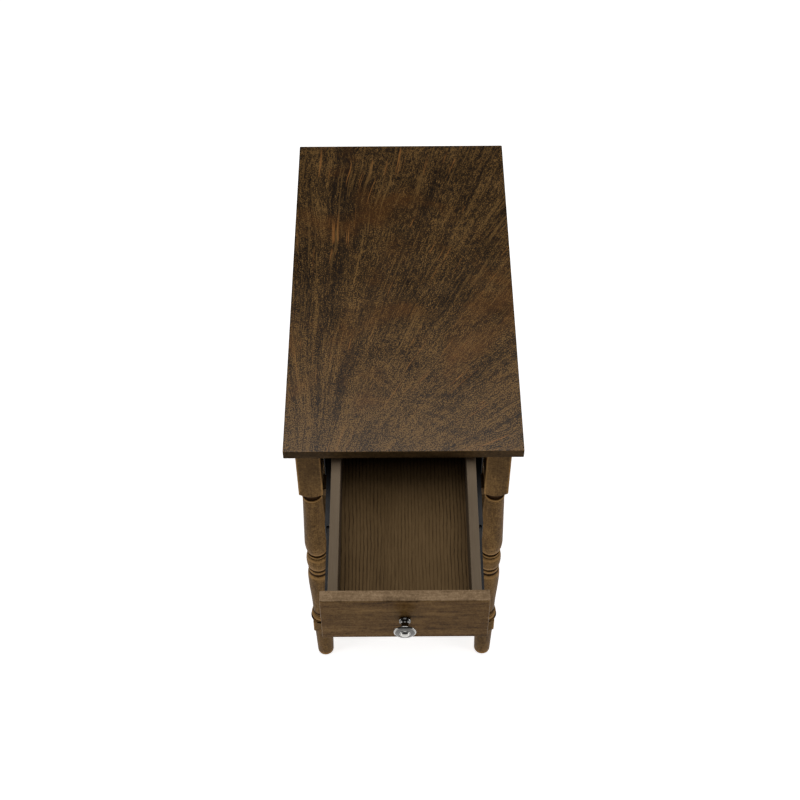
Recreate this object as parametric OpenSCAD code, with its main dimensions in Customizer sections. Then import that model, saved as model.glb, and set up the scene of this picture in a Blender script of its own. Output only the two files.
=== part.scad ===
// Side table with one drawer on ball-bearing slides, four turned legs and a lower shelf.
// Origin: on the floor under the middle of the tabletop. +X is right, +Y is back, +Z is up.
// The drawer opens towards -Y and is drawn open by drawer_open.

/* [Tabletop] */
// Width of the tabletop, side to side
top_w = 330; // [320:1:380]
// Depth of the tabletop, front to back
top_d = 620; // [600:1:680]
// Height of the table
table_h = 610; // [600:1:640]
// Thickness of the tabletop
top_t = 15.5; // [15:0.5:20]
// Overhang of the tabletop past the legs on every side
top_overhang = 14.5; // [8:0.5:20]

/* [Legs] */
// Side of the square block at the head of a leg
leg_block = 35; // [34:0.5:38]
// Side of the square block at the shelf
shelf_block = 31; // [29:0.5:32]
// Height of the round foot below the shelf block
foot_h = 86; // [80:1:95]
// Largest radius of the turned stretches
turn_r = 18; // [17.5:0.1:18.5]
// Radius of the slim waist above the lower ring
waist_r = 14.9; // [13.5:0.1:16]
// Radius of the foot where it meets the floor glide
toe_r = 13.3; // [12.5:0.1:14.5]

/* [Case] */
// Height of the side and back aprons
apron_h = 108; // [100:1:112]
// Thickness of the aprons
apron_t = 18; // [16:0.5:18]
// Thickness of the rail under the drawer
rail_t = 15.5; // [14:0.5:18]
// Thickness of the lower shelf
shelf_t = 15.5; // [12:0.5:19]

/* [Drawer] */
// How far the drawer is drawn out of the case
drawer_open = 238; // [0:1:440]
// Gap between the drawer front and a leg
front_side_gap = 6.25; // [2:0.25:8]
// Height of the drawer front
front_h = 93; // [88:1:95]
// Thickness of the drawer front
front_t = 16.5; // [14:0.5:18]
// Height of the drawer sides
side_h = 75; // [68:1:78]
// Thickness of the drawer sides and back
side_t = 13; // [12:0.5:15]
// Thickness of the drawer bottom panel
bottom_t = 5; // [4:0.5:6]

/* [Slides] */
// Length of a closed slide, and its full travel
slide_l = 450; // [400:10:480]
// Thickness of a slide between case and drawer
slide_t = 12.7; // [12.7:0.1:13.5]
// How far the slides stand inside the inner faces of the legs
slide_inset = 3.3; // [3:0.1:6]
// Height of the case member of a slide
slide_h = 45; // [45:1:50]
// Balls in one row of a cage
balls_per_row = 8; // [4:1:12]

/* [Knob] */
// Radius of the knob's disc
knob_r = 14.6; // [13:0.1:18]
// How far the knob stands out of the drawer front
knob_reach = 25; // [23:0.5:28]

/* [Hidden] */
$fn = 64;
arris = 0.8;                 // small chamfer on every sawn edge
eps = 0.01;                  // lets a cutter pass the face that it opens

// Tabletop and legs
top_z = table_h - top_t;
leg_x = top_w / 2 - top_overhang - leg_block / 2;
leg_y = top_d / 2 - top_overhang - leg_block / 2;
leg_in_x = leg_x - leg_block / 2;
leg_in_y = leg_y - leg_block / 2;
block_z = top_z - 114.5;     // where the faces of the head block run out
block_end = foot_h + 33;     // top of the shelf block
ring_z = block_end + 13;     // top of the lower ring
bead_z = block_z - 186;      // middle of the big bead
vase_z = block_z - 161;      // foot of the vase
glide_t = 2.5;
glide_r = 10;
nail_r = 1.2;
nail_l = 14;

// Aprons, rail and cleats
recess = 4.5;                // aprons stand back from the faces of the legs
apron_x = leg_x + leg_block / 2 - recess - apron_t;
apron_y = leg_y + leg_block / 2 - recess - apron_t;
apron_z = top_z - apron_h;
tenon_t = 10;
tenon_l = 16;
tenon_inset = 9;             // shoulder above and below a tenon
case_face = leg_in_x - slide_inset;  // where the slides are screwed on
cleat_t = apron_x - case_face;
cleat_h = 55;
rail_y = leg_y + leg_block / 2 - 3;
rail_d = 28;
rail_dowel_ys = [8, 20];     // from the front edge of the rail
front_gap = 2.5;             // under the tabletop, over the drawer front
rail_z = top_z - front_gap - front_h - 3 - rail_t;
dowel_r = 4;
dowel_l = 30;

// Shelf, in the middle of the shelf blocks
shelf_z = (foot_h + block_end - shelf_t) / 2;
shelf_edge_x = leg_x + shelf_block / 2 - 4;
shelf_edge_y = leg_y + shelf_block / 2 - 4;
notch_x = leg_x - shelf_block / 2;
notch_y = leg_y - shelf_block / 2;
shelf_dowel_l = 20;
shelf_dowel_out = 4;         // from the leg's axis towards the edge of the shelf

// Drawer, placed as if closed and then drawn out
front_w = 2 * (leg_in_x - front_side_gap);
box_w = 2 * (case_face - slide_t);
front_z = top_z - front_gap - front_h;
front_y = -leg_y - leg_block / 2;
box_y = front_y + front_t;
box_l = slide_l;
side_z = front_z + front_h - 9 - side_h;
groove = 6;
bottom_z = side_z + 9;
back_y = box_y + box_l - 6 - side_t;
box_in = box_w / 2 - side_t;

// Slides: sections are measured from the case, in x, and from the middle of the slide, in z
slide_y = box_y + 2;
slide_z = side_z + 24.5;
sheet = 1.2;                 // steel of the members
lip = 0.7;                   // sheet of the rolled lips beside the inner balls
lip_h = 0.5;                 // how far a lip of the middle member passes its balls
case_lip_h = 1.5;            // the same for the case member
middle_setback = 6;          // the middle member is shorter at either end
outer_ball = 2;
inner_ball = 1.25;
ball_gap = 0.15;
outer_x = 7;                 // middle of the outer ball rows
inner_x = 9.1;               // middle of the inner ball rows
middle_x = 4.6;              // outer face of the middle member
row_outer = slide_h / 2 - sheet - ball_gap - outer_ball;
middle_half = row_outer - outer_ball - ball_gap;
row_inner = middle_half - sheet - ball_gap - inner_ball;
drawer_half = row_inner - inner_ball - ball_gap;
cage_t = 0.6;
cage_l = slide_l * 0.46;
cage_y = slide_y + slide_l * 0.27;
slide_holes = [37, slide_l / 2 + 4, slide_l - 29];

// Screws
screw_r = 1.75;
screw_head = 3.5;
slide_screw_r = 1.6;
bracket_screw_r = 1.5;
bracket_screw_l = 11;
bracket = 15;
bracket_w = 16;
bracket_sheet = 1.5;
bracket_ys = [-180, 180];
bracket_xs = [-60, 60];
cleat_screw_ys = [-200, 0, 200];
knob_z = front_z + front_h / 2;
knob_screw_r = 2;
knob_thread_l = 11;
boss_r = 5.9;                // dome in the middle of the knob
boss_h = 3.6;
knob_face = knob_reach - boss_h;     // where the disc meets the dome
knob_rim = knob_face - 3;    // the disc falls away by this much towards its rim

// ---------- outlines ----------

// Points on an arc of an ellipse, from angle a0 to a1
function arc(cx, cy, rx, ry, a0, a1, n = 8) =
    [for (i = [0 : n]) let (a = a0 + (a1 - a0) * i / n) [cx + rx * cos(a), cy + ry * sin(a)]];

// A small half-round ridge on a turning, from height z0 to z1
function ridge(r, z0, z1, proud) = arc(r, (z0 + z1) / 2, proud, (z1 - z0) / 2, -90, 90, 6);

// A long taper that leaves the radius r0 and reaches r1 softly
function soft_taper(r0, z0, r1, z1, n = 10) =
    [for (i = [0 : n]) [r0 + (r1 - r0) * (1 - cos(180 * i / n)) / 2, z0 + (z1 - z0) * i / n]];

// Heights on the leg, from the floor
function foot_outline() = concat(
    [[0, glide_t]],
    arc(toe_r - 1.8, glide_t + 1.8, 1.8, 1.8, -90, 0, 4),
    [[shelf_block / 2 - 0.4, foot_h + 1], [0, foot_h + 1]]
);

function turning_outline() = concat(
    [[0, block_end - 1], [12.5, block_end - 1], [12.5, block_end + 3.5]],
    // lower ring: a fat bead with two thin ridges over it
    ridge(14.6, block_end + 3.5, ring_z, turn_r - 14.6),
    ridge(15.2, ring_z, ring_z + 3.5, 1.5),
    ridge(14.7, ring_z + 4, ring_z + 7, 1.1),
    // long taper up to the belly
    soft_taper(waist_r, ring_z + 14, turn_r - 0.25, bead_z - 52),
    arc(15.3, bead_z - 49, turn_r - 15.55, 15, 0, 90, 6),
    // recess and ridge under the bead
    ridge(14.9, bead_z - 30, bead_z - 23, 1.2),
    // big bead
    arc(14.4, bead_z - 3, turn_r - 14.7, 17, -90, 90, 12),
    // ridge and groove between bead and vase
    ridge(14.6, bead_z + 15, bead_z + 19, 1),
    [[13.4, vase_z - 6], [13.4, vase_z - 2]],
    // vase
    arc(13.4, vase_z + 22, turn_r - 13.4, 24, -90, 0, 8),
    [[14.6, block_z - 33], [14.2, block_z - 23]],
    // two fine ridges and the neck under the head block
    ridge(13.8, block_z - 23, block_z - 20, 0.7),
    ridge(13.6, block_z - 19.5, block_z - 15, 1.2),
    [[11.5, block_z - 14], [11.5, block_z - 5], [15, block_z - 2], [15, block_z + 9], [0, block_z + 9]]
);

// Outline of one face of a board, with its corners cut
function cut_corners(w, h, c) =
    [[c, 0], [w - c, 0], [w, c], [w, h - c], [w - c, h], [c, h], [0, h - c], [0, c]];

// Square section with small chamfers on its corners
module square_bar(side) {
    translate([-side / 2, -side / 2])
        polygon(cut_corners(side, side, arris));
}

// Board with every edge chamfered, from its lowest corner
module board(size, c = arris) {
    intersection() {
        linear_extrude(size[2])
            polygon(cut_corners(size[0], size[1], c));
        translate([0, size[1], 0])
            rotate([90, 0, 0])
                linear_extrude(size[1])
                    polygon(cut_corners(size[0], size[2], c));
        rotate([90, 0, 90])
            linear_extrude(size[0])
                polygon(cut_corners(size[1], size[2], c));
    }
}

// ---------- fasteners ----------

// Countersunk screw: the head's face at the origin, the shank along +Z
module flat_screw(l, r = screw_r, head = screw_head) {
    cylinder(r1 = head, r2 = r, h = head - r);
    cylinder(r = r, h = l);
}

// Pan-head screw: the head stands below the origin, the shank runs along +Z
module pan_screw(l, r = screw_r, head = screw_head, head_h = 1.2) {
    translate([0, 0, -head_h])
        cylinder(r1 = head - 0.6, r2 = head, h = head_h);
    cylinder(r = r, h = l);
}

module both_sides() {
    children();
    mirror([1, 0, 0])
        children();
}

module four_corners() {
    for (sx = [-1, 1], sy = [-1, 1])
        into_corner(sx, sy)
            children();
}

module into_corner(sx, sy) {
    mirror([sx < 0 ? 1 : 0, 0, 0])
        mirror([0, sy < 0 ? 1 : 0, 0])
            children();
}

// Dowels between rail and legs, drawn as on the right-hand side
module rail_dowel_set() {
    for (dy = rail_dowel_ys)
        translate([leg_in_x - dowel_l / 2, -rail_y + dy, rail_z + rail_t / 2])
            rotate([0, 90, 0])
                cylinder(r = dowel_r, h = dowel_l);
}

// Dowels between shelf and leg, drawn in the corner of +X and +Y
module shelf_dowel_set() {
    mid_z = shelf_z + shelf_t / 2;
    translate([notch_x - shelf_dowel_l / 2, leg_y + shelf_dowel_out, mid_z])
        rotate([0, 90, 0])
            cylinder(r = dowel_r, h = shelf_dowel_l);
    translate([leg_x + shelf_dowel_out, notch_y + shelf_dowel_l / 2, mid_z])
        rotate([90, 0, 0])
            cylinder(r = dowel_r, h = shelf_dowel_l);
}

module glide() {
    translate([leg_x, leg_y, 0]) {
        cylinder(r1 = glide_r - 0.8, r2 = glide_r, h = 0.8);
        translate([0, 0, 0.8])
            cylinder(r = glide_r, h = glide_t - 0.8);
        translate([0, 0, glide_t - eps])
            cylinder(r = nail_r, h = nail_l);
    }
}

// Tenons of the side aprons and of the back apron, drawn on the +X side
module side_tenon() {
    translate([apron_x + (apron_t - tenon_t) / 2, leg_in_y - eps, apron_z + tenon_inset])
        cube([tenon_t, tenon_l + eps, apron_h - 2 * tenon_inset]);
}

module back_tenon() {
    translate([leg_in_x - eps, apron_y + (apron_t - tenon_t) / 2, apron_z + tenon_inset])
        cube([tenon_l + eps, tenon_t, apron_h - 2 * tenon_inset]);
}

// ---------- legs ----------

// One leg in the corner of +X and +Y, before any joinery
// Just outside the corners of a square with this side
function past_corner(side) = 0.72 * side;

// A square block cut back to an outline where its faces run out; the outline goes from bottom to top
module turned_block(side, outline) {
    low = outline[0][1];
    high = outline[len(outline) - 1][1];
    intersection() {
        translate([0, 0, low])
            linear_extrude(high - low)
                square_bar(side);
        rotate_extrude()
            polygon(concat([[0, low]], outline, [[0, high]]));
    }
}

module turned_leg() {
    head_r = past_corner(leg_block);
    shelf_r = past_corner(shelf_block);
    translate([leg_x, leg_y, 0]) {
        turned_block(leg_block, [[13, block_z - 4], [leg_block / 2, block_z],
                                 [head_r, block_z + 7], [head_r, top_z]]);
        turned_block(shelf_block, [[shelf_block / 2 - 0.4, foot_h], [shelf_r, foot_h + 5],
                                   [shelf_r, block_end - 2], [0.62 * shelf_block, block_end]]);
        rotate_extrude()
            polygon(turning_outline());
        rotate_extrude()
            polygon(foot_outline());
    }
}

module leg(rear) {
    color("#6f5636")
        difference() {
            turned_leg();
            side_tenon();
            shelf_dowel_set();
            glide();
            if (rear)
                back_tenon();
            else
                mirror([0, 1, 0])
                    rail_dowel_set();
        }
}

module leg_front_left() { into_corner(-1, -1) leg(false); }
module leg_front_right() { into_corner(1, -1) leg(false); }
module leg_rear_left() { into_corner(-1, 1) leg(true); }
module leg_rear_right() { into_corner(1, 1) leg(true); }

module floor_glides() {
    color("#2a2724")
        four_corners()
            glide();
}

// ---------- tabletop ----------

// Brackets hold the tabletop to the aprons: one seen from the side, in the corner of apron and top
module bracket_at_apron() {
    translate([0, bracket_w / 2, 0])
        rotate([90, 0, 0])
            linear_extrude(bracket_w)
                polygon([[0, 0], [-bracket, 0], [-bracket, -bracket_sheet], [-bracket_sheet, -bracket_sheet],
                         [-bracket_sheet, -bracket], [0, -bracket]]);
}

// The two screws of a bracket, one up into the tabletop and one into the apron
module bracket_screw_pair() {
    translate([-bracket * 0.6, 0, -bracket_sheet])
        pan_screw(bracket_screw_l, bracket_screw_r, 2.8);
    translate([-bracket_sheet, 0, -bracket * 0.6])
        rotate([0, 90, 0])
            pan_screw(bracket_screw_l, bracket_screw_r, 2.8);
}

// Places a child at each bracket: two on either side apron, two on the back apron
module at_brackets() {
    both_sides()
        for (y = bracket_ys)
            translate([apron_x, y, top_z])
                children();
    for (x = bracket_xs)
        translate([x, apron_y, top_z])
            rotate([0, 0, 90])
                children();
}

module tabletop() {
    color("#5c4a35")
        difference() {
            translate([-top_w / 2, -top_d / 2, top_z])
                board([top_w, top_d, top_t]);
            at_brackets()
                bracket_screw_pair();
        }
}

module top_brackets() {
    color("#9a9a96")
        difference() {
            at_brackets()
                bracket_at_apron();
            at_brackets()
                bracket_screw_pair();
        }
}

module bracket_screws() {
    color("#c0b48a")
        at_brackets()
            bracket_screw_pair();
}

// ---------- case ----------

module side_apron() {
    color("#64502f")
        difference() {
            union() {
                translate([apron_x, -leg_in_y, apron_z])
                    cube([apron_t, 2 * leg_in_y, apron_h]);
                side_tenon();
                mirror([0, 1, 0])
                    side_tenon();
            }
            at_brackets()
                bracket_screw_pair();
            cleat_screw_set();
        }
}

module apron_right() { side_apron(); }
module apron_left() { mirror([1, 0, 0]) side_apron(); }

module apron_back() {
    color("#64502f")
        difference() {
            union() {
                translate([-leg_in_x, apron_y, apron_z])
                    cube([2 * leg_in_x, apron_t, apron_h]);
                both_sides()
                    back_tenon();
            }
            at_brackets()
                bracket_screw_pair();
        }
}

module drawer_rail() {
    color("#6f5636")
        difference() {
            translate([-leg_in_x, -rail_y, rail_z])
                cube([2 * leg_in_x, rail_d, rail_t]);
            rail_dowels();
        }
}

module rail_dowels() {
    color("#c9a873")
        both_sides()
            rail_dowel_set();
}

// Screws through a cleat into the apron, drawn on the +X side
module cleat_screw_set() {
    for (y = cleat_screw_ys)
        translate([case_face, y, slide_z])
            rotate([0, 90, 0])
                flat_screw(30);
}

module cleat_screws() {
    color("#c0b48a")
        both_sides()
            cleat_screw_set();
}

module slide_cleat() {
    color("#b48f5e")
        difference() {
            translate([case_face, -leg_in_y, slide_z - cleat_h / 2])
                cube([cleat_t, 2 * leg_in_y, cleat_h]);
            cleat_screw_set();
            case_screw_set();
        }
}

module slide_cleat_right() { slide_cleat(); }
module slide_cleat_left() { mirror([1, 0, 0]) slide_cleat(); }

// ---------- shelf ----------

module lower_shelf() {
    color("#5c4a35")
        difference() {
            translate([-shelf_edge_x, -shelf_edge_y, shelf_z])
                board([2 * shelf_edge_x, 2 * shelf_edge_y, shelf_t]);
            four_corners()
                translate([notch_x, notch_y, shelf_z - 1])
                    cube([shelf_block, shelf_block, shelf_t + 2]);
            shelf_dowels();
        }
}

module shelf_dowels() {
    color("#c9a873")
        four_corners()
            shelf_dowel_set();
}

// ---------- slides ----------

module both_halves() {
    children();
    mirror([0, 1])
        children();
}

module case_section() {
    race = outer_ball + ball_gap;
    translate([0, -slide_h / 2])
        square([sheet, slide_h]);
    both_halves() {
        translate([0, slide_h / 2 - sheet])
            square([outer_x, sheet]);
        intersection() {
            translate([outer_x, row_outer])
                difference() {
                    circle(race + sheet);
                    circle(race);
                }
            translate([outer_x, row_outer])
                square(2 * race);
        }
        translate([outer_x + race, row_outer - case_lip_h])
            square([sheet, case_lip_h + eps]);
    }
}

module middle_section() {
    lip_x = inner_x + inner_ball + ball_gap;
    translate([middle_x, -middle_half])
        square([sheet, 2 * middle_half]);
    both_halves() {
        translate([middle_x, middle_half - sheet])
            square([lip_x + lip - middle_x, sheet]);
        translate([lip_x, row_inner - lip_h])
            square([lip, middle_half - row_inner + lip_h]);
    }
}

module drawer_section() {
    lip_x = inner_x - inner_ball - ball_gap - lip;
    translate([slide_t - sheet, -drawer_half])
        square([sheet, 2 * drawer_half]);
    both_halves() {
        translate([lip_x, drawer_half - sheet])
            square([slide_t - lip_x, sheet]);
        translate([lip_x, drawer_half - sheet])
            square([lip, row_inner - drawer_half + sheet - lip]);
    }
}

// Runs a section along a member; drawn on the +X side
module member(section_y, length) {
    translate([case_face, section_y, slide_z])
        mirror([1, 0, 0])
            translate([0, length, 0])
                rotate([90, 0, 0])
                    linear_extrude(length)
                        children();
}

module case_screw_set() {
    for (h = slide_holes)
        translate([case_face - sheet, slide_y + h, slide_z])
            rotate([0, 90, 0])
                flat_screw(cleat_t - 0.8, slide_screw_r, 2.9);
}

module slide_case_member() {
    color("#26282b")
        difference() {
            member(slide_y, slide_l)
                case_section();
            case_screw_set();
        }
}

module slide_case_member_right() { slide_case_member(); }
module slide_case_member_left() { mirror([1, 0, 0]) slide_case_member(); }

module slide_case_screws() {
    color("#8c8f93")
        both_sides()
            case_screw_set();
}

module slide_middle_member() {
    color("#2c2e32")
        translate([0, -drawer_open / 2, 0])
            difference() {
                member(slide_y + middle_setback, slide_l - 2 * middle_setback)
                    middle_section();
                // windows through which the case screws are driven
                for (h = slide_holes)
                    translate([case_face - middle_x - sheet - 1, slide_y + h, slide_z])
                        rotate([0, 90, 0])
                            cylinder(r = 5, h = sheet + 2);
            }
}

module slide_middle_member_right() { slide_middle_member(); }
module slide_middle_member_left() { mirror([1, 0, 0]) slide_middle_member(); }

// A cage is a channel whose fingers stand between the balls
module ball_cage(web_x, row_x, row_z, r) {
    pitch = cage_l / balls_per_row;
    half = row_z + cage_t / 2;
    ball_ys = [for (i = [0 : balls_per_row - 1]) cage_y + pitch * (i + 0.5)];
    color("#b9bcc0")
        difference() {
            member(cage_y, cage_l) {
                translate([web_x, -half])
                    square([cage_t, 2 * half]);
                both_halves()
                    translate([web_x, half - cage_t])
                        square([row_x + r * 0.7 - web_x, cage_t]);
            }
            for (y = ball_ys, s = [-1, 1])
                translate([case_face - row_x - r, y - r - ball_gap, slide_z + s * row_z - 1])
                    cube([2 * r, 2 * (r + ball_gap), 2]);
        }
    color("#d9dcdf")
        for (y = ball_ys, s = [-1, 1])
            translate([case_face - row_x, y, slide_z + s * row_z])
                sphere(r = r);
}

module ball_cage_outer_right() {
    translate([0, -drawer_open / 4, 0])
        ball_cage(sheet + 0.35, outer_x, row_outer, outer_ball);
}

module ball_cage_outer_left() { mirror([1, 0, 0]) ball_cage_outer_right(); }

module ball_cage_inner_right() {
    translate([0, -drawer_open * 3 / 4, 0])
        ball_cage(middle_x + sheet + 0.3, inner_x, row_inner, inner_ball);
}

module ball_cage_inner_left() { mirror([1, 0, 0]) ball_cage_inner_right(); }

// ---------- drawer ----------
// Every drawer piece is placed as closed and moved by drawn_out()

module drawn_out() {
    translate([0, -drawer_open, 0])
        children();
}

module drawer_screw_set() {
    for (h = slide_holes)
        translate([box_w / 2 + sheet, slide_y + h, slide_z])
            rotate([0, -90, 0])
                pan_screw(11.5, slide_screw_r, 3, 1.4);
}

module slide_drawer_member() {
    color("#4b545e")
        drawn_out()
            difference() {
                member(slide_y, slide_l)
                    drawer_section();
                drawer_screw_set();
            }
}

module slide_drawer_member_right() { slide_drawer_member(); }
module slide_drawer_member_left() { mirror([1, 0, 0]) slide_drawer_member(); }

module slide_drawer_screws() {
    color("#8c8f93")
        drawn_out()
            both_sides()
                drawer_screw_set();
}

// Dowels between a drawer side and the drawer front, on the +X side
module front_dowel_set() {
    for (z = [bottom_z + bottom_t + 12, side_z + side_h - 14])
        translate([box_w / 2 - side_t / 2, box_y - 10, z])
            rotate([-90, 0, 0])
                cylinder(r = 3, h = 25);
}

module drawer_front_dowels() {
    color("#c9a873")
        drawn_out()
            both_sides()
                front_dowel_set();
}

// Screws through a drawer side into the back, on the +X side
module back_screw_set() {
    for (z = [bottom_z + bottom_t + 12, side_z + side_h - 14])
        translate([box_w / 2, back_y + side_t / 2, z])
            rotate([0, -90, 0])
                flat_screw(35);
}

module drawer_back_screws() {
    color("#c0b48a")
        drawn_out()
            both_sides()
                back_screw_set();
}

module drawer_side() {
    color("#6f5f4c")
        drawn_out()
            difference() {
                translate([box_in, box_y, side_z])
                    board([side_t, box_l, side_h], 0.6);
                translate([box_in - eps, box_y - 1, bottom_z])
                    cube([groove + eps, box_l + 2, bottom_t]);
                front_dowel_set();
                back_screw_set();
                drawer_screw_set();
            }
}

module drawer_side_right() { drawer_side(); }
module drawer_side_left() { mirror([1, 0, 0]) drawer_side(); }

module drawer_back() {
    color("#6f5f4c")
        drawn_out()
            difference() {
                translate([-box_in, back_y, bottom_z + bottom_t])
                    cube([2 * box_in, side_t, side_z + side_h - bottom_z - bottom_t]);
                both_sides()
                    back_screw_set();
            }
}

module drawer_bottom() {
    color("#6b5940")
        drawn_out()
            translate([-box_in - groove + 0.3, box_y - groove + 0.3, bottom_z])
                cube([2 * (box_in + groove - 0.3), back_y + side_t - box_y + groove - 0.3, bottom_t]);
}

module drawer_front() {
    color("#6a5336")
        drawn_out()
            difference() {
                translate([-front_w / 2, front_y, front_z])
                    board([front_w, front_t, front_h], 1.2);
                translate([-box_in - groove, box_y - groove, bottom_z])
                    cube([2 * (box_in + groove), groove + 1, bottom_t]);
                both_sides()
                    front_dowel_set();
                translate([0, front_y - 1, knob_z])
                    rotate([-90, 0, 0])
                        cylinder(r = knob_screw_r, h = front_t + 2);
            }
}

// Half section of the knob: x is the radius, y the distance from the drawer front
function knob_outline() = concat(
    // flange, neck, and the flare under the disc
    [[knob_screw_r, 0]],
    arc(6.7, 2, 1.4, 2, -90, 60, 6),
    arc(8.4, 7.6, 3.6, 3.9, -105, -180, 8),
    arc(11.5, 11, 6.7, knob_rim - 11.6, 180, 95, 8),
    // rim and crowned face
    arc(knob_r - 1, knob_rim, 1, 1, -70, 40, 6),
    arc(boss_r + 1.7, knob_rim + 0.4, knob_r - boss_r - 2.2, knob_face - knob_rim - 0.4, 15, 90, 8),
    // groove, ring and dome
    [[boss_r + 1.4, knob_face - 0.5]],
    arc(boss_r + 0.6, knob_face, 0.6, 0.6, 0, 130, 4),
    arc(0, knob_face, boss_r, boss_h, 8, 90, 10),
    [[0, knob_thread_l], [knob_screw_r, knob_thread_l]]
);

module knob() {
    color("#d5d2cc")
        drawn_out()
            translate([0, front_y, knob_z])
                rotate([90, 0, 0])
                    rotate_extrude()
                        polygon(knob_outline());
}

module knob_screw() {
    color("#c8c8c4")
        drawn_out()
            translate([0, box_y, knob_z])
                rotate([90, 0, 0])
                    pan_screw(front_t + knob_thread_l - 1, knob_screw_r, 4.2, 2.4);
}

// ---------- nodes ----------

tabletop();
leg_front_left();
leg_front_right();
leg_rear_left();
leg_rear_right();
apron_left();
apron_right();
apron_back();
drawer_rail();
rail_dowels();
slide_cleat_left();
slide_cleat_right();
cleat_screws();
top_brackets();
bracket_screws();
lower_shelf();
shelf_dowels();
floor_glides();
slide_case_member_left();
slide_case_member_right();
slide_case_screws();
slide_middle_member_left();
slide_middle_member_right();
ball_cage_outer_left();
ball_cage_outer_right();
ball_cage_inner_left();
ball_cage_inner_right();
slide_drawer_member_left();
slide_drawer_member_right();
slide_drawer_screws();
drawer_front();
drawer_side_left();
drawer_side_right();
drawer_back();
drawer_bottom();
drawer_front_dowels();
drawer_back_screws();
knob();
knob_screw();
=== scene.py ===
"""Looks of the side table: camera, lights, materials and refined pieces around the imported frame.

Metres, in the frame of the CAD model: the origin is on the floor under the middle of the tabletop,
+X is right, +Y is back, +Z is up. The drawer opens towards -Y. Outlines of turned pieces are in mm.
"""
import math

import bmesh
import bpy
from mathutils import Matrix, Vector


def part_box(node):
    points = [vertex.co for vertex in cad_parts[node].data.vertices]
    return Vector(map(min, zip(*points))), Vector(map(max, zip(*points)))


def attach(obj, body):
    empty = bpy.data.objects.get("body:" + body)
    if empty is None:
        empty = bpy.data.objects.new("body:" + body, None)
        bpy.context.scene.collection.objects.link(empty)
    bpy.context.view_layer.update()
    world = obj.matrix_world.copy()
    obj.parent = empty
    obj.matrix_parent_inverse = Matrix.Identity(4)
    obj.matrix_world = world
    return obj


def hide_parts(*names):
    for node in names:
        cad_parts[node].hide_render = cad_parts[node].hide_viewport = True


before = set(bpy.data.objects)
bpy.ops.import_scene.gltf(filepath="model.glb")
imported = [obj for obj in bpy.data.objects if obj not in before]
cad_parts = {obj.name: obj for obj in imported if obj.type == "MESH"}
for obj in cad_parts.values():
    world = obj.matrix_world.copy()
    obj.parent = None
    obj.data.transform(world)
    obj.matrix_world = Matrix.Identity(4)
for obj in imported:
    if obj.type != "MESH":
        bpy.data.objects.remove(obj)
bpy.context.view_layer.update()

scene = bpy.context.scene
MM = 0.001


# ---------- camera, stage and light ----------

EYE = (-0.0063, -1.4593, 2.1672)
LOOK_DOWN, LOOK_LEFT, ROLL = 51.497, -0.091, -0.295     # degrees
LENS, SENSOR = 63.93, 36                                # mm

AMBIENT = 0.06                # strength of the even light from all round
FLOOR_HALF = 9.0
FLOOR_ALBEDO, FLOOR_GLOW = 0.93, 0.8

# name, place, point that it faces, width, height, brightness
LIGHTS = (
    # over the front edge of the tabletop, which shades the drawer more and more towards the back
    ("key_light", (0, -0.32, 1.5), (0, -0.32, 0.5), 0.8, 1.2, 1.7),
    # its far edge is mirrored in the front of the tabletop
    ("top_light", (0, 0.18, 2.2), (0, 0.18, 0), 2.0, 1.7, 1.5),
    # these two brighten the outer sides of the legs
    ("left_light", (-1.25, -0.75, 0.45), (0, -0.3, 0.4), 0.4, 0.8, 4.2),
    ("right_light", (1.25, -0.75, 0.45), (0, -0.3, 0.4), 0.4, 0.8, 4.2),
    ("back_light", (0, 2.6, 1.0), (0, 0, 0.3), 2.4, 1.0, 0.5),
)


def make_camera():
    """In front of the drawer, looking steeply down on the table."""
    data = bpy.data.cameras.new("camera")
    data.sensor_width = SENSOR
    data.lens = LENS
    camera = bpy.data.objects.new("camera", data)
    turn = Matrix.Rotation(math.radians(LOOK_LEFT), 4, "Z")
    tilt = Matrix.Rotation(math.radians(90 - LOOK_DOWN), 4, "X")
    roll = Matrix.Rotation(math.radians(ROLL), 4, "Z")
    camera.matrix_world = Matrix.Translation(EYE) @ turn @ tilt @ roll
    scene.collection.objects.link(camera)
    scene.camera = camera


def softbox(name, place, aim, width, height, brightness):
    """A rectangular light that faces a point; its brightness doesn't depend on its size."""
    data = bpy.data.lights.new(name, "AREA")
    data.shape = "RECTANGLE"
    data.size = width
    data.size_y = height
    data.energy = brightness * math.pi * width * height
    lamp = bpy.data.objects.new(name, data)
    lamp.location = place
    lamp.rotation_euler = (Vector(aim) - Vector(place)).to_track_quat("-Z", "Y").to_euler()
    lamp.visible_camera = False
    scene.collection.objects.link(lamp)


def make_floor():
    """A plain pale floor, which glows a little so that it stays nearly white."""
    half = FLOOR_HALF
    corners = [(-half, -half, 0), (half, -half, 0), (half, half, 0), (-half, half, 0)]
    mesh = bpy.data.meshes.new("floor")
    mesh.from_pydata(corners, [], [(0, 1, 2, 3)])
    floor = bpy.data.objects.new("floor", mesh)
    scene.collection.objects.link(floor)
    paint = Graph("floor_paint")
    paint.surface((FLOOR_ALBEDO, FLOOR_ALBEDO, FLOOR_ALBEDO), roughness=0.9, specular=0.0)
    paint.shader.inputs["Emission Color"].default_value = (1, 1, 1, 1)
    paint.shader.inputs["Emission Strength"].default_value = FLOOR_GLOW
    mesh.materials.append(paint.material)


def make_stage():
    """The even light from all round, the floor and the softboxes."""
    world = bpy.data.worlds.new("studio")
    world.use_nodes = True
    background = world.node_tree.nodes["Background"]
    background.inputs["Color"].default_value = (1, 1, 1, 1)
    background.inputs["Strength"].default_value = AMBIENT
    scene.world = world
    scene.view_settings.view_transform = "Standard"
    make_floor()
    for light in LIGHTS:
        softbox(*light)


# ---------- materials ----------

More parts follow.
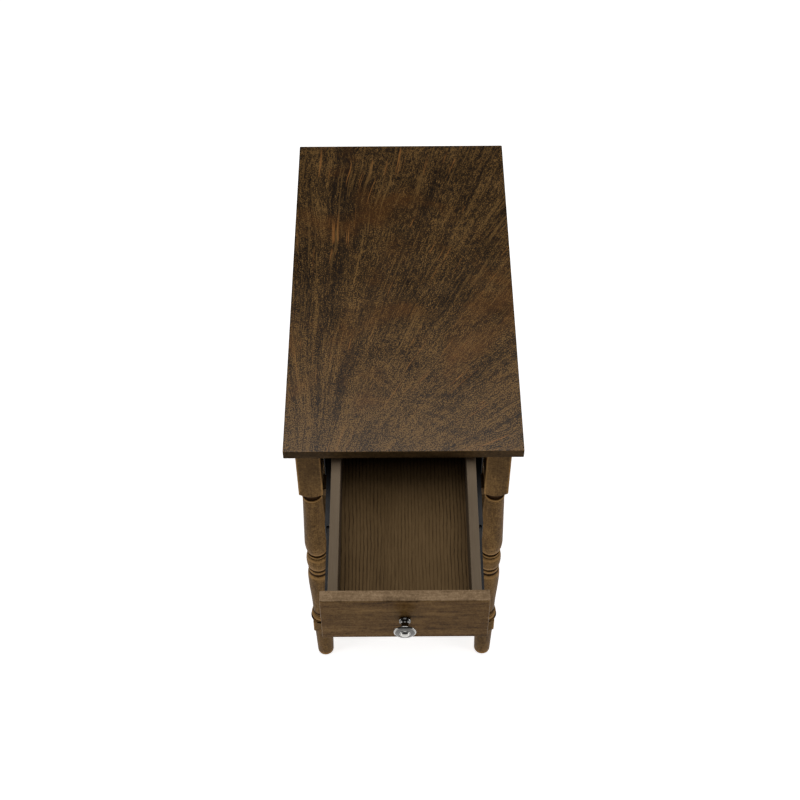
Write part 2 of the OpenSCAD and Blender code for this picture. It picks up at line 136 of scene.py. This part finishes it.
def tone(red, green, blue):
    """Linear colour of an 8-bit display colour."""
    return tuple(c / 12.92 if c <= 0.04045 else ((c + 0.055) / 1.055) ** 2.4
                 for c in (red / 255, green / 255, blue / 255))


class Graph:
    """A procedural material, whose patterns are laid out in metres in the object's own space."""

    def __init__(self, name):
        self.material = bpy.data.materials.new(name)
        self.material.use_nodes = True
        self.nodes = self.material.node_tree.nodes
        self.shader = self.nodes["Principled BSDF"]
        self.place = self.add("ShaderNodeTexCoord").outputs["Object"]

    def add(self, kind, **settings):
        node = self.nodes.new(kind)
        for key, value in settings.items():
            setattr(node, key, value)
        return node

    def feed(self, socket, value):
        """Links a socket to another node's output, or sets its value."""
        if isinstance(value, bpy.types.NodeSocket):
            self.material.node_tree.links.new(value, socket)
        else:
            socket.default_value = value

    def attribute(self, name):
        """A value that the mesh holds for each of its points."""
        return self.add("ShaderNodeAttribute", attribute_name=name).outputs["Fac"]

    def flat_place(self):
        """X and Y of the place."""
        axes = self.add("ShaderNodeSeparateXYZ")
        self.feed(axes.inputs[0], self.place)
        return axes.outputs["X"], axes.outputs["Y"]

    def polar(self, x, y, centre, unit):
        """The plane round a centre: (vector of scaled angle and distance, distance)."""
        dx = self.math("SUBTRACT", x, centre[0])
        dy = self.math("SUBTRACT", y, centre[1])
        reach = self.math("SQRT", self.total(self.times(dx, dx), self.times(dy, dy)))
        both = self.add("ShaderNodeCombineXYZ")
        self.feed(both.inputs["X"], self.times(self.math("ARCTAN2", dy, dx), unit))
        self.feed(both.inputs["Y"], reach)
        return both.outputs[0], reach

    def math(self, operation, *values):
        node = self.add("ShaderNodeMath", operation=operation)
        for socket, value in zip(node.inputs, values):
            self.feed(socket, value)
        return node.outputs[0]

    def times(self, first, second):
        return self.math("MULTIPLY", first, second)

    def total(self, *terms):
        found = terms[0]
        for term in terms[1:]:
            found = self.math("ADD", found, term)
        return found

    def inverse(self, pattern):
        """A 0..1 pattern with its dark and light changed over."""
        return self.math("SUBTRACT", 1.0, pattern)

    def around_zero(self, pattern, gain):
        """A 0..1 pattern, centred on zero and scaled."""
        return self.times(self.math("SUBTRACT", pattern, 0.5), gain)

    def ease(self, value, start, end):
        """0 before start, 1 after end, with a soft step between."""
        node = self.add("ShaderNodeMapRange", interpolation_type="SMOOTHSTEP")
        for key, entry in (("Value", value), ("From Min", start), ("From Max", end)):
            self.feed(node.inputs[key], entry)
        return node.outputs[0]

    def scaled(self, scale, source=None):
        """The place, or another vector, scaled along its axes."""
        node = self.add("ShaderNodeMapping")
        self.feed(node.inputs["Vector"], source or self.place)
        node.inputs["Scale"].default_value = scale
        return node.outputs[0]

    def noise(self, vector, scale=1.0, detail=3.0, rough=0.55, warp=0.0):
        node = self.add("ShaderNodeTexNoise")
        self.feed(node.inputs["Vector"], vector)
        settings = {"Scale": scale, "Detail": detail, "Roughness": rough, "Distortion": warp}
        for key, value in settings.items():
            node.inputs[key].default_value = value
        return node.outputs["Fac"]

    def ramp(self, factor, stops):
        """Colour by a factor, from stops of (factor, colour)."""
        node = self.add("ShaderNodeValToRGB")
        self.feed(node.inputs[0], factor)
        marks = node.color_ramp.elements
        while len(marks) < len(stops):
            marks.new(0.5)
        for mark, (position, color) in zip(marks, stops):
            mark.position = position
            mark.color = (*color, 1)
        return node.outputs[0]

    def mix(self, factor, first, second):
        """The first colour where the factor is 0, the second where it is 1."""
        node = self.add("ShaderNodeMix", data_type="RGBA")
        self.feed(node.inputs["Factor"], factor)
        for socket, value in ((node.inputs[6], first), (node.inputs[7], second)):
            self.feed(socket, value if isinstance(value, bpy.types.NodeSocket) else (*value, 1))
        return node.outputs[2]

    def bump(self, height, depth, strength=1.0):
        node = self.add("ShaderNodeBump")
        self.feed(node.inputs["Height"], height)
        node.inputs["Distance"].default_value = depth
        node.inputs["Strength"].default_value = strength
        return node.outputs[0]

    def surface(self, color, roughness, metallic=0.0, specular=0.5, normal=None):
        """Feeds the shader; what is the same all over is set on its own sockets."""
        if not isinstance(color, bpy.types.NodeSocket):
            color = (*color, 1)
        self.feed(self.shader.inputs["Base Color"], color)
        self.feed(self.shader.inputs["Roughness"], roughness)
        self.shader.inputs["Metallic"].default_value = metallic
        self.shader.inputs["Specular IOR Level"].default_value = specular
        if normal is not None:
            self.feed(self.shader.inputs["Normal"], normal)


def across(along, fine, coarse):
    """Scale that draws a pattern out along one axis: fine across the grain, coarse along it."""
    return tuple(coarse if axis == along else fine for axis in "XYZ")


def stained_wood(name, along, dark, mid, light, gloss=0.42, glow=0.0, figure_gain=0.9, speckle=1.0,
                 with_wear_and_painted_light=False):
    """Close-grained wood under a rubbed stain: clouds, faint figure, fibres and a fine mottle.

    gloss is the roughness; glow is a share of the gloss that comes back tinted by the wood. With the
    switch on, the wood is painted lighter on its proud parts (painted highlight) and darker in its
    grooves (painted shade), by the mesh's attribute for wear and painted light.
    """
    g = Graph(name)
    clouds = g.noise(g.scaled(across(along, 24, 10)), detail=3, warp=0.4)
    figure = g.noise(g.scaled(across(along, 130, 14)), detail=3, warp=0.5)
    fibres = g.noise(g.scaled(across(along, 620, 45)), detail=2)
    mottle = g.noise(g.place, scale=190, detail=3, rough=0.7)
    specks = g.noise(g.place, scale=420, detail=2, rough=0.7)
    level = g.total(
        0.5,
        g.around_zero(clouds, 0.7),
        g.around_zero(figure, figure_gain),
        g.around_zero(fibres, 0.6 * speckle),
        g.around_zero(mottle, 1.0 * speckle),
        g.around_zero(specks, 1.1 * speckle),
    )
    if with_wear_and_painted_light:
        # painted highlight on proud parts and painted shade in grooves, from the mesh's attribute
        level = g.total(level, g.times(g.attribute("wear_and_painted_light"), 2.0))
    color = g.ramp(level, [(0.0, dark), (0.5, mid), (1.0, light)])
    roughness = g.total(gloss, g.around_zero(clouds, 0.25))
    height = g.total(g.times(fibres, 0.6), g.times(specks, 0.4))
    relief = g.bump(height, 0.00012, 0.5)
    g.surface(color, roughness, metallic=glow, specular=0.014, normal=relief)
    return g.material


TOP_DARK, TOP_MID, TOP_LIGHT = tone(22, 13, 6), tone(67, 48, 24), tone(119, 89, 49)
TOP_AMBER, TOP_WARM, TOP_PIT = tone(148, 99, 50), tone(96, 59, 22), tone(18, 13, 9)

FAN_CENTRE, FAN_UNIT = (-0.13, -0.42), 0.42             # where the grain fans out from
CROTCH_CENTRE, CROTCH_UNIT = (0.0, -0.225), 0.05        # where the feather spreads from
CROTCH_FADE = (0.03, 0.13)                              # distances over which the feather fades out
LEFT_FADE = (-0.09, -0.03)                              # X over which the straight grain gives way
PAINTED_FALLOFF_Y = (-0.3, 0.05)                               # Y over which the top is painted darker towards the back, as painted light falling off from the front


def top_veneer():
    """Figured veneer: straight grain on the left that fans out into diagonals on the right.

    A feathered crotch lies near the front edge, where the top is also painted lighter, as painted light
    that falls off towards the back.
    """
    g = Graph("figured_veneer")
    x, y = g.flat_place()
    drift = g.noise(g.place, scale=6, detail=2)
    bent_x = g.total(x, g.around_zero(drift, 0.025))
    flow, _ = g.polar(bent_x, y, FAN_CENTRE, FAN_UNIT)
    rays, reach = g.polar(bent_x, y, CROTCH_CENTRE, CROTCH_UNIT)
    in_crotch = g.inverse(g.ease(reach, *CROTCH_FADE))
    on_left = g.inverse(g.ease(x, *LEFT_FADE))

    bands = g.noise(g.scaled((34, 2.6, 1), flow), detail=4, rough=0.55, warp=0.25)
    streaks = g.noise(g.scaled((150, 6, 1), flow), detail=2, rough=0.6, warp=0.15)
    fibres = g.noise(g.scaled((640, 90, 1), flow), detail=0)
    feather = g.noise(g.scaled((110, 22, 1), rays), detail=3, warp=0.3)
    clouds = g.noise(g.place, scale=13, detail=2, warp=0.4)
    specks = g.noise(g.place, scale=680, detail=0)

    # the straight grain on the left is the boldest; the crotch has its own
    boldness = g.total(1.0, g.times(on_left, 0.5), g.times(in_crotch, -0.6))
    grain = g.total(g.around_zero(bands, 1.0), g.around_zero(streaks, 1.0))
    level = g.total(
        0.53,
        g.times(grain, boldness),
        # painted light: the top is painted darker towards the back and lighter at the front
        g.times(g.ease(y, *PAINTED_FALLOFF_Y), -0.25),
        g.times(g.around_zero(feather, 1.5), in_crotch),
        g.around_zero(clouds, 0.7),
        g.around_zero(fibres, 1.2),
        g.around_zero(specks, 2.8),
    )
    brown = g.ramp(level, [(0.0, TOP_DARK), (0.5, TOP_MID), (1.0, TOP_LIGHT)])

    warmth = g.ease(g.noise(g.place, scale=9, detail=4, warp=0.3), 0.5, 0.7)
    brown = g.mix(g.times(warmth, 0.38), brown, TOP_WARM)

    # thin separate lines along the flow: scale across and along the grain, start and end of a line
    # in the noise, where they lie, strength, colour
    patch = g.ease(g.noise(g.place, scale=14, detail=3), 0.46, 0.56)
    for fine, coarse, start, end, where, strength, color in (
        (230, 5, 0.62, 0.70, patch, 0.6, TOP_AMBER),
        (180, 4, 0.60, 0.70, g.inverse(patch), 0.7, TOP_DARK),
        (300, 7, 0.57, 0.67, 1.0, 0.4, TOP_LIGHT),
    ):
        line = g.ease(g.noise(g.scaled((fine, coarse, 1), flow), detail=2), start, end)
        brown = g.mix(g.times(g.times(line, where), strength), brown, color)

    pits = g.ease(g.noise(g.scaled((55, 120, 1)), detail=1), 0.75, 0.79)
    brown = g.mix(g.times(pits, 0.7), brown, TOP_PIT)

    roughness = g.total(0.3, g.around_zero(clouds, 0.15))
    height = g.total(g.times(fibres, 0.5), g.times(specks, 0.5))
    relief = g.bump(height, 0.0001, 0.35)
    g.surface(brown, roughness, specular=0.24, normal=relief)
    return g.material


PORE_PITCH = 0.0049           # between the pore lines of the drawer panel


def open_grain(name, dark, mid, light):
    """Ring-porous wood along Y: wavering lines of pores at an even pitch, boldest near the sides."""
    g = Graph(name)
    x, _ = g.flat_place()
    sway = g.noise(g.scaled((11, 4.5, 1)), detail=2)
    jitter = g.noise(g.scaled((70, 60, 1)), detail=2)
    phase = g.total(
        g.times(x, 2 * math.pi / PORE_PITCH),
        g.around_zero(sway, 16),
        g.around_zero(jitter, 2.4),
    )
    line = g.ease(g.math("SINE", phase), 0.25, 1.0)
    near_sides = g.ease(g.math("ABSOLUTE", x), 0.02, 0.08)
    stretches = g.noise(g.scaled((60, 9, 1)), detail=2)
    boldness = g.total(0.55, g.times(near_sides, 0.5), g.around_zero(stretches, 1.6))
    dashes = g.noise(g.scaled((420, 75, 1)), detail=2)
    pores = g.times(g.times(line, boldness), g.total(0.2, g.times(dashes, 1.4)))
    clouds = g.noise(g.scaled((16, 5, 1)), detail=3, warp=0.4)
    fibres = g.noise(g.scaled((800, 50, 1)), detail=2)
    level = g.total(
        0.72,
        g.around_zero(clouds, 0.6),
        g.around_zero(fibres, 0.6),
        g.times(pores, -0.46),
    )
    color = g.ramp(level, [(0.15, dark), (0.55, mid), (0.95, light)])
    roughness = g.total(0.6, g.around_zero(clouds, 0.2))
    g.surface(color, roughness, specular=0.03, normal=g.bump(g.inverse(pores), 0.0002, 0.5))
    return g.material


def painted_board(name, along, dark, light):
    """Wood under a smooth, nearly opaque finish."""
    g = Graph(name)
    clouds = g.noise(g.scaled(across(along, 26, 7)), detail=3)
    fibres = g.noise(g.scaled(across(along, 700, 30)), detail=2)
    level = g.total(0.5, g.around_zero(clouds, 0.9), g.around_zero(fibres, 0.55))
    color = g.ramp(level, [(0.1, dark), (0.9, light)])
    roughness = g.total(0.5, g.around_zero(clouds, 0.2))
    g.surface(color, roughness, specular=0.05, normal=g.bump(fibres, 0.00008, 0.4))
    return g.material


def metal(name, color, roughness, brushed=None, metallic=1.0, shine=0.5):
    """Metal, coated metal or moulded nylon with fine unevenness, drawn out along brushed."""
    g = Graph(name)
    fineness = across(brushed, 1400, 60) if brushed else (420, 420, 420)
    marks = g.noise(g.scaled(fineness), detail=3)
    smears = g.noise(g.place, scale=35, detail=3)
    level = g.total(0.5, g.around_zero(marks, 0.8), g.around_zero(smears, 0.7))
    darker = tuple(0.84 * c for c in color)
    shaded = g.ramp(level, [(0.1, darker), (0.9, color)])
    uneven = g.total(
        roughness,
        g.around_zero(smears, roughness * 0.6),
        g.around_zero(marks, roughness * 0.3),
    )
    g.surface(shaded, uneven, metallic=metallic, specular=shine, normal=g.bump(marks, 0.00003, 0.3))
    return g.material


# ends of the knob's painted light: dark for painted shade and dark reflection, bright for painted
# highlight
NICKEL_DARK, NICKEL_BRIGHT = (0.07, 0.068, 0.065), (0.5, 0.49, 0.465)


def nickel_with_painted_light():
    """Nickel with painted light: bright for a painted highlight and reflection on the dome, ring and rim,
    dark for a painted dark reflection on the disc and neck, darkest for painted shade in the groove.
    """
    g = Graph("nickel_with_painted_light")
    smears = g.noise(g.place, scale=160, detail=3)
    painted_light_level = g.total(g.attribute("wear_and_painted_light"), g.around_zero(smears, 0.25))
    color = g.ramp(painted_light_level, [(0.0, NICKEL_DARK), (1.0, NICKEL_BRIGHT)])
    g.surface(color, g.total(0.09, g.around_zero(smears, 0.06)), metallic=1.0)
    return g.material


# ---------- mesh helpers ----------

SAME_POINT = 0.01 * MM        # points closer than this are one point


def mesh_from(bm, name):
    """Turns a bmesh into a mesh, and frees it."""
    mesh = bpy.data.meshes.new(name)
    bm.to_mesh(mesh)
    bm.free()
    return mesh


def make_piece(name, mesh, body, slot, stands_for, *materials):
    """A new piece in place of a CAD node, shaded smoothly with its flat faces kept flat."""
    piece = bpy.data.objects.new(name, mesh)
    scene.collection.objects.link(piece)
    for material in materials:
        mesh.materials.append(material)
    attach(piece, body)
    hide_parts(stands_for)
    mesh.shade_smooth()
    even = piece.modifiers.new("even_normals", "WEIGHTED_NORMAL")
    even.weight = 100
    even.keep_sharp = True


def eased_board(name, node, body, slot, radius, *materials):
    """A board the size of its CAD node, with every edge rounded.

    Faces that look up or down take the first material, those that look along Y the second, along X
    the third.
    """
    low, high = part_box(node)
    bm = bmesh.new()
    bmesh.ops.create_cube(bm, size=1)
    bmesh.ops.scale(bm, vec=high - low, verts=bm.verts)
    bmesh.ops.translate(bm, vec=(high + low) / 2, verts=bm.verts)
    bmesh.ops.bevel(bm, geom=bm.edges[:], offset=radius, segments=4, profile=0.5, affect="EDGES")
    for face in bm.faces:
        if abs(face.normal.z) < 0.75:
            face.material_index = 1 if abs(face.normal.y) > abs(face.normal.x) else 2
    make_piece(name, mesh_from(bm, name), body, slot, node, *materials)


def turned_mesh(name, rings):
    """A skin over rings of (point, wear and painted light), closed at both ends; a last ring of one point
    is a tip.

    The value of each point, for wear and painted light, is kept in a mesh attribute, which materials
    read: painted highlight and painted shade on the turnings, lighter corners on the blocks, painted
    highlight and reflection on the knob.
    """
    bm = bmesh.new()
    layer = bm.verts.layers.float.new("wear_and_painted_light")
    rows = []
    for ring in rings:
        row = [bm.verts.new(point) for point, _ in ring]
        for vert, (_, wear_and_painted_light) in zip(row, ring):
            vert[layer] = wear_and_painted_light
        rows.append(row)
    for below, above in zip(rows, rows[1:]):
        for i in range(len(below)):
            j = (i + 1) % len(below)
            upper = (above[0],) if len(above) == 1 else (above[j], above[i])
            bm.faces.new((below[i], below[j], *upper))
    for end in (rows[0], rows[-1]):
        if len(end) > 1:
            bm.faces.new(end)
    bmesh.ops.remove_doubles(bm, verts=bm.verts, dist=SAME_POINT)
    bmesh.ops.recalc_face_normals(bm, faces=bm.faces)
    return mesh_from(bm, name)


def arc(cx, cz, rx, rz, start, end, count=16):
    """Points on an arc of an ellipse; angles in degrees."""
    angles = [math.radians(start + (end - start) * i / count) for i in range(count + 1)]
    return [(cx + rx * math.cos(a), cz + rz * math.sin(a)) for a in angles]


def ridge(radius, low, high, proud):
    """A half-round ridge on a turning, from height low to high."""
    return arc(radius, (low + high) / 2, proud, (high - low) / 2, -90, 90, 10)


def soft_taper(r0, z0, r1, z1, count=36):
    """A stretch from one radius and height to another that starts and ends straight."""
    return [(r0 + (r1 - r0) * (1 - math.cos(math.pi * i / count)) / 2, z0 + (z1 - z0) * i / count)
            for i in range(count + 1)]


def filled(points, step):
    """The same outline with long straight stretches divided."""
    found = [points[0]]
    for (r0, z0), (r1, z1) in zip(points, points[1:]):
        count = max(1, math.ceil(math.hypot(r1 - r0, z1 - z0) / step))
        found += [(r0 + (r1 - r0) * i / count, z0 + (z1 - z0) * i / count) for i in range(1, count + 1)]
    return found


# ---------- legs ----------

TURN, WAIST, TOE = 18.0, 14.9, 13.3                     # radii of the turning, mm
SHELF_BLOCK_HALF, HEAD_BLOCK_HALF = 15.5, 17.5          # half the side of each square block
PAST_SHELF_BLOCK, PAST_HEAD_BLOCK = 22.4, 25.2          # radii beyond the corners of the blocks
CORNER, EDGE_BLEND = 1.1, 0.7                           # rounding of a block's corners and shoulders
SHELF_BLOCK_REACH = 16.5                                # above and below the middle of the shelf
HEAD_BLOCK_HEIGHT = 114.5                               # from the tabletop down to the full square
RELIEF_SPAN, RELIEF_DEPTH = 7, 2.2                          # heights compared, and relief that gets the full painted highlight on a ridge and the full painted shade in a groove


def leg_stretches(floor, foot_top, block_top, head, top):
    """(outline, half side of a square block or None) from the foot up; radii and heights in mm."""
    ring = block_top + 13
    bead = head - 186
    vase = head - 161
    block_foot = (SHELF_BLOCK_HALF - 0.4, foot_top)
    foot = arc(TOE - 2.2, floor + 2.2, 2.2, 2.2, -90, 0, 8) + [block_foot]
    shelf_block = [
        block_foot,
        (PAST_SHELF_BLOCK, foot_top + 5),
        (PAST_SHELF_BLOCK, block_top - 2),
        (19.2, block_top),
    ]
    turning = (
        [(19.2, block_top), (12.5, block_top), (12.5, block_top + 3.5)]
        + ridge(14.6, block_top + 3.5, ring, TURN - 14.6)
        + ridge(15.2, ring, ring + 3.5, 1.5)
        + ridge(14.7, ring + 4, ring + 7, 1.1)
        + soft_taper(WAIST, ring + 14, TURN - 0.25, bead - 52)
        + arc(15.3, bead - 49, TURN - 15.55, 15, 0, 90)
        + ridge(14.9, bead - 30, bead - 23, 1.2)
        + arc(14.4, bead - 3, TURN - 14.7, 17, -90, 90, 24)
        + ridge(14.6, bead + 15, bead + 19, 1)
        + [(13.4, vase - 6), (13.4, vase - 2)]
        + arc(13.4, vase + 22, TURN - 13.4, 24, -90, 0)
        + [(14.6, head - 33), (14.2, head - 23)]
        + ridge(13.8, head - 23, head - 20, 0.7)
        + ridge(13.6, head - 19.5, head - 15, 1.2)
        + [(11.5, head - 14), (11.5, head - 5), (13, head - 4)]
    )
    head_block = [(13, head - 4), (17.5, head), (PAST_HEAD_BLOCK, head + 7), (PAST_HEAD_BLOCK, top)]
    return [(foot, None), (shelf_block, SHELF_BLOCK_HALF), (turning, None), (head_block, HEAD_BLOCK_HALF)]


def square_reach(angle, half):
    """Distance from the middle of a square with rounded corners to its side, in one direction."""
    c, s = abs(math.cos(angle)), abs(math.sin(angle))
    long_way, short_way = max(c, s), min(c, s)
    reach = half / long_way
    core = half - CORNER
    if reach * short_way > core:
        along = core * (c + s)
        reach = along + math.sqrt(along * along - 2 * core * core + CORNER * CORNER)
    return reach


def soft_lower(a, b):
    """The lower of two radii, with the edge between them eased."""
    h = min(1.0, max(0.0, 0.5 + 0.5 * (b - a) / EDGE_BLEND))
    return b + (a - b) * h - EDGE_BLEND * h * (1 - h)


def leg_angles():
    """Even steps all round, with closer ones beside the four corners."""
    even = [math.radians(5 * i) for i in range(72)]
    beside = (-3.2, -2.1, -1.05, 1.05, 2.1, 3.2)
    corners = [math.radians(45 + 90 * k + d) for k in range(4) for d in beside]
    return sorted(even + corners)


def turning_painted_light(outline):
    """Above 0 on proud parts of an outline, for a painted highlight; below 0 in its grooves, for painted
    shade.
    """
    found = []
    for r, z in outline:
        around = [q for q, h in outline if abs(h - z) < RELIEF_SPAN]
        proud = r - sum(around) / len(around)
        found.append(max(-1.0, min(1.0, proud / RELIEF_DEPTH)))
    return found


def block_corner_lightening(reach, half):
    """In a block, only the corners are made lighter."""
    return 0.5 * max(0.0, (reach - half * 1.3) / (half * 0.1))


def make_leg(name, node, wood):
    """A turned leg as long as its CAD node, with square blocks at the shelf and at the head."""
    low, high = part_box(node)
    middle = (low + high) / 2
    shelf_low, shelf_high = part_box("lower_shelf")
    shelf = (shelf_low.z + shelf_high.z) / 2 / MM
    top = high.z / MM
    stretches = leg_stretches(low.z / MM, shelf - SHELF_BLOCK_REACH, shelf + SHELF_BLOCK_REACH,
                              top - HEAD_BLOCK_HEIGHT, top)
    rings = []
    for outline, half in stretches:
        outline = filled(outline, 1.5 if half is None else 1.2)
        # painted highlight on the proud parts of a turning and painted shade in its grooves; lighter
        # corners on the blocks
        for (r, z), wear_and_painted_light in zip(outline, turning_painted_light(outline)):
            ring = []
            for a in leg_angles():
                reach = r if half is None else soft_lower(r, square_reach(a, half))
                point = (middle.x + reach * math.cos(a) * MM, middle.y + reach * math.sin(a) * MM, z * MM)
                ring.append((point, wear_and_painted_light if half is None else block_corner_lightening(reach, half)))
            rings.append(ring)
    make_piece(name, turned_mesh(name, rings), "case", "leg_wood", node, wood)


# ---------- knob ----------

BOSS_R, BOSS_H = 5.9, 3.6     # dome in the middle of the disc, mm
CROWN = 3.0                   # fall of the disc from the dome to its rim
KNOB_SIDES = 96


def knob_profile(reach, rim):
    """(radius, distance from the drawer front), mm: flange, neck, crowned disc, ring and dome."""
    face = reach - BOSS_H
    rim_at = face - CROWN
    return (
        [(5.0, 0.0)]
        + arc(6.7, 2, 1.4, 2, -90, 60, 14)
        + arc(8.4, 7.6, 3.6, 3.9, -105, -180, 16)
        + arc(11.5, 11, 6.7, rim_at - 11.6, 180, 95, 20)
        + arc(rim - 1, rim_at, 1, 1, -70, 40, 12)
        + arc(BOSS_R + 1.7, rim_at + 0.4, rim - BOSS_R - 2.2, CROWN - 0.4, 15, 90, 20)
        + [(BOSS_R + 1.4, face - 0.5)]
        + arc(BOSS_R + 0.6, face, 0.6, 0.6, 0, 130, 8)
        + arc(0, face, BOSS_R, BOSS_H, 8, 90, 20)
    )


def knob_painted_light(r, d, reach, rim):
    """How bright the knob's painted light is, 0 to 1: painted highlight on the dome and ring most, then
    the rim, painted dark reflection on the rest, and painted shade in the groove round the dome.
    """
    face = reach - BOSS_H
    if d > face - 0.6 and r < BOSS_R + 1.3:
        in_groove = abs(r - BOSS_R) <= 0.3
        return 0.0 if in_groove else 1.0
    if r > rim - 1.6:
        return 0.6
    return 0.12 if d > face - CROWN else 0.1


def make_knob(finish):
    """A turned knob as wide and as deep as its CAD node."""
    low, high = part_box("knob")
    middle = (low + high) / 2
    reach, rim = (high.y - low.y) / MM, (high.x - low.x) / 2 / MM
    rings = []
    for r, d in filled(knob_profile(reach, rim), 0.5):
        # painted highlight, painted dark reflection and painted shade on the knob
        wear_and_painted_light = knob_painted_light(r, d, reach, rim)
        count = KNOB_SIDES if r > 0.05 else 1
        ring = []
        for i in range(count):
            a = 2 * math.pi * i / count
            point = (middle.x + r * MM * math.cos(a), high.y - d * MM, middle.z + r * MM * math.sin(a))
            ring.append((point, wear_and_painted_light))
        rings.append(ring)
    make_piece("knob_turned", turned_mesh("knob_turned", rings), "drawer", "knob_nickel", "knob", finish)


# ---------- CAD nodes that stay ----------

def finish_node(node, material, round_off=None):
    """Gives a CAD node its material and, if asked, rounded edges."""
    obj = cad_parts[node]
    obj.data.materials.clear()
    obj.data.materials.append(material)
    if round_off:
        weld = obj.modifiers.new("weld", "WELD")
        weld.merge_threshold = 0.000005
        flat = obj.modifiers.new("flat", "DECIMATE")
        flat.decimate_type = "DISSOLVE"
        flat.angle_limit = math.radians(1)
        bevel = obj.modifiers.new("bevel", "BEVEL")
        bevel.width = round_off
        bevel.segments = 3
        bevel.limit_method = "ANGLE"
        bevel.angle_limit = math.radians(25)
        bevel.harden_normals = True


# ---------- the table ----------

# tones from dark to light
LEG_TONES = tone(46, 29, 13), tone(92, 69, 40), tone(135, 103, 62)
CASE_TONES = tone(50, 38, 23), tone(78, 60, 38), tone(100, 80, 54)
FRONT_TONES = tone(54, 36, 17), tone(92, 67, 37), tone(121, 93, 56)
FRONT_EDGE_TONES = tone(82, 65, 46), tone(122, 100, 75), tone(155, 131, 102)
TOP_EDGE_TONES = tone(42, 31, 19), tone(66, 50, 31), tone(88, 67, 42)
BOX_TONES = tone(87, 74, 58), tone(112, 98, 81)
PANEL_TONES = tone(42, 30, 17), tone(79, 61, 38), tone(99, 79, 53)
POPLAR_TONES = tone(140, 118, 84), tone(178, 152, 112)
BEECH_TONES = tone(176, 146, 104), tone(206, 178, 134)

TOP_EASE, FRONT_EASE, BOARD_EASE = 1.3 * MM, 1.5 * MM, 0.5 * MM     # rounding of edges


def build_new_pieces():
    """The pieces that replace CAD nodes: tabletop, drawer front, legs and knob."""
    edge_x = stained_wood("edge_stain_x", "X", *TOP_EDGE_TONES)
    edge_y = stained_wood("edge_stain_y", "Y", *TOP_EDGE_TONES)
    eased_board("tabletop_veneered", "tabletop", "case", "top_veneer", TOP_EASE,
                top_veneer(), edge_x, edge_y)

    front = stained_wood("front_stain", "X", *FRONT_TONES, gloss=0.24, glow=0.08, figure_gain=1.5)
    front_edge = stained_wood("front_edge_stain", "X", *FRONT_EDGE_TONES, speckle=0.9)
    eased_board("drawer_front_eased", "drawer_front", "drawer", "front_wood", FRONT_EASE,
                front_edge, front, front_edge)

    # the legs are painted lighter on their rings (painted highlight) and darker in their grooves (painted
    # shade)
    leg_wood = stained_wood("leg_stain_and_painted_light", "Z", *LEG_TONES, figure_gain=0.3, speckle=0.9, with_wear_and_painted_light=True)
    for end in ("front", "rear"):
        for side in ("left", "right"):
            make_leg(f"leg_{end}_{side}_turned", f"leg_{end}_{side}", leg_wood)
    make_knob(nickel_with_painted_light())


def finish_kept_nodes():
    """The CAD nodes whose shape is right: a material for each, and eased edges on the boards."""
    case_y = stained_wood("case_stain_y", "Y", *CASE_TONES)
    case_x = stained_wood("case_stain_x", "X", *CASE_TONES)
    box_y = painted_board("drawer_box_y", "Y", *BOX_TONES)
    box_x = painted_board("drawer_box_x", "X", *BOX_TONES)
    panel = open_grain("drawer_panel", *PANEL_TONES)
    poplar = painted_board("cleat_poplar", "Y", *POPLAR_TONES)
    beech = painted_board("dowel_beech", "X", *BEECH_TONES)
    black = metal("slide_black", tone(22, 23, 26), 0.45, "Y", metallic=0.0, shine=0.25)
    steel = metal("ball_steel", (0.62, 0.63, 0.65), 0.28)
    zinc = metal("zinc_plate", (0.66, 0.64, 0.56), 0.36)
    nylon = metal("glide_nylon", tone(48, 45, 42), 0.55, metallic=0.0)

    sides = ("left", "right")
    members = ("case", "middle", "drawer")
    slide_members = [f"slide_{part}_member_{side}" for part in members for side in sides]
    ball_cages = [f"ball_cage_{part}_{side}" for part in ("outer", "inner") for side in sides]
    screws = ["cleat_screws", "bracket_screws", "slide_case_screws", "slide_drawer_screws",
              "drawer_back_screws", "knob_screw"]
    kept = (
        (case_y, BOARD_EASE, ["apron_left", "apron_right", "lower_shelf"]),
        (case_x, BOARD_EASE, ["apron_back", "drawer_rail"]),
        (box_y, BOARD_EASE, ["drawer_side_left", "drawer_side_right"]),
        (box_x, BOARD_EASE, ["drawer_back"]),
        (panel, None, ["drawer_bottom"]),
        (poplar, None, ["slide_cleat_left", "slide_cleat_right"]),
        (beech, None, ["rail_dowels", "shelf_dowels", "drawer_front_dowels"]),
        (black, None, slide_members),
        (steel, None, ball_cages),
        (zinc, None, ["top_brackets", *screws]),
        (nylon, None, ["floor_glides"]),
    )
    for material, round_off, nodes in kept:
        for node in nodes:
            finish_node(node, material, round_off)


make_camera()
make_stage()
build_new_pieces()
finish_kept_nodes()

bpy.context.view_layer.update()
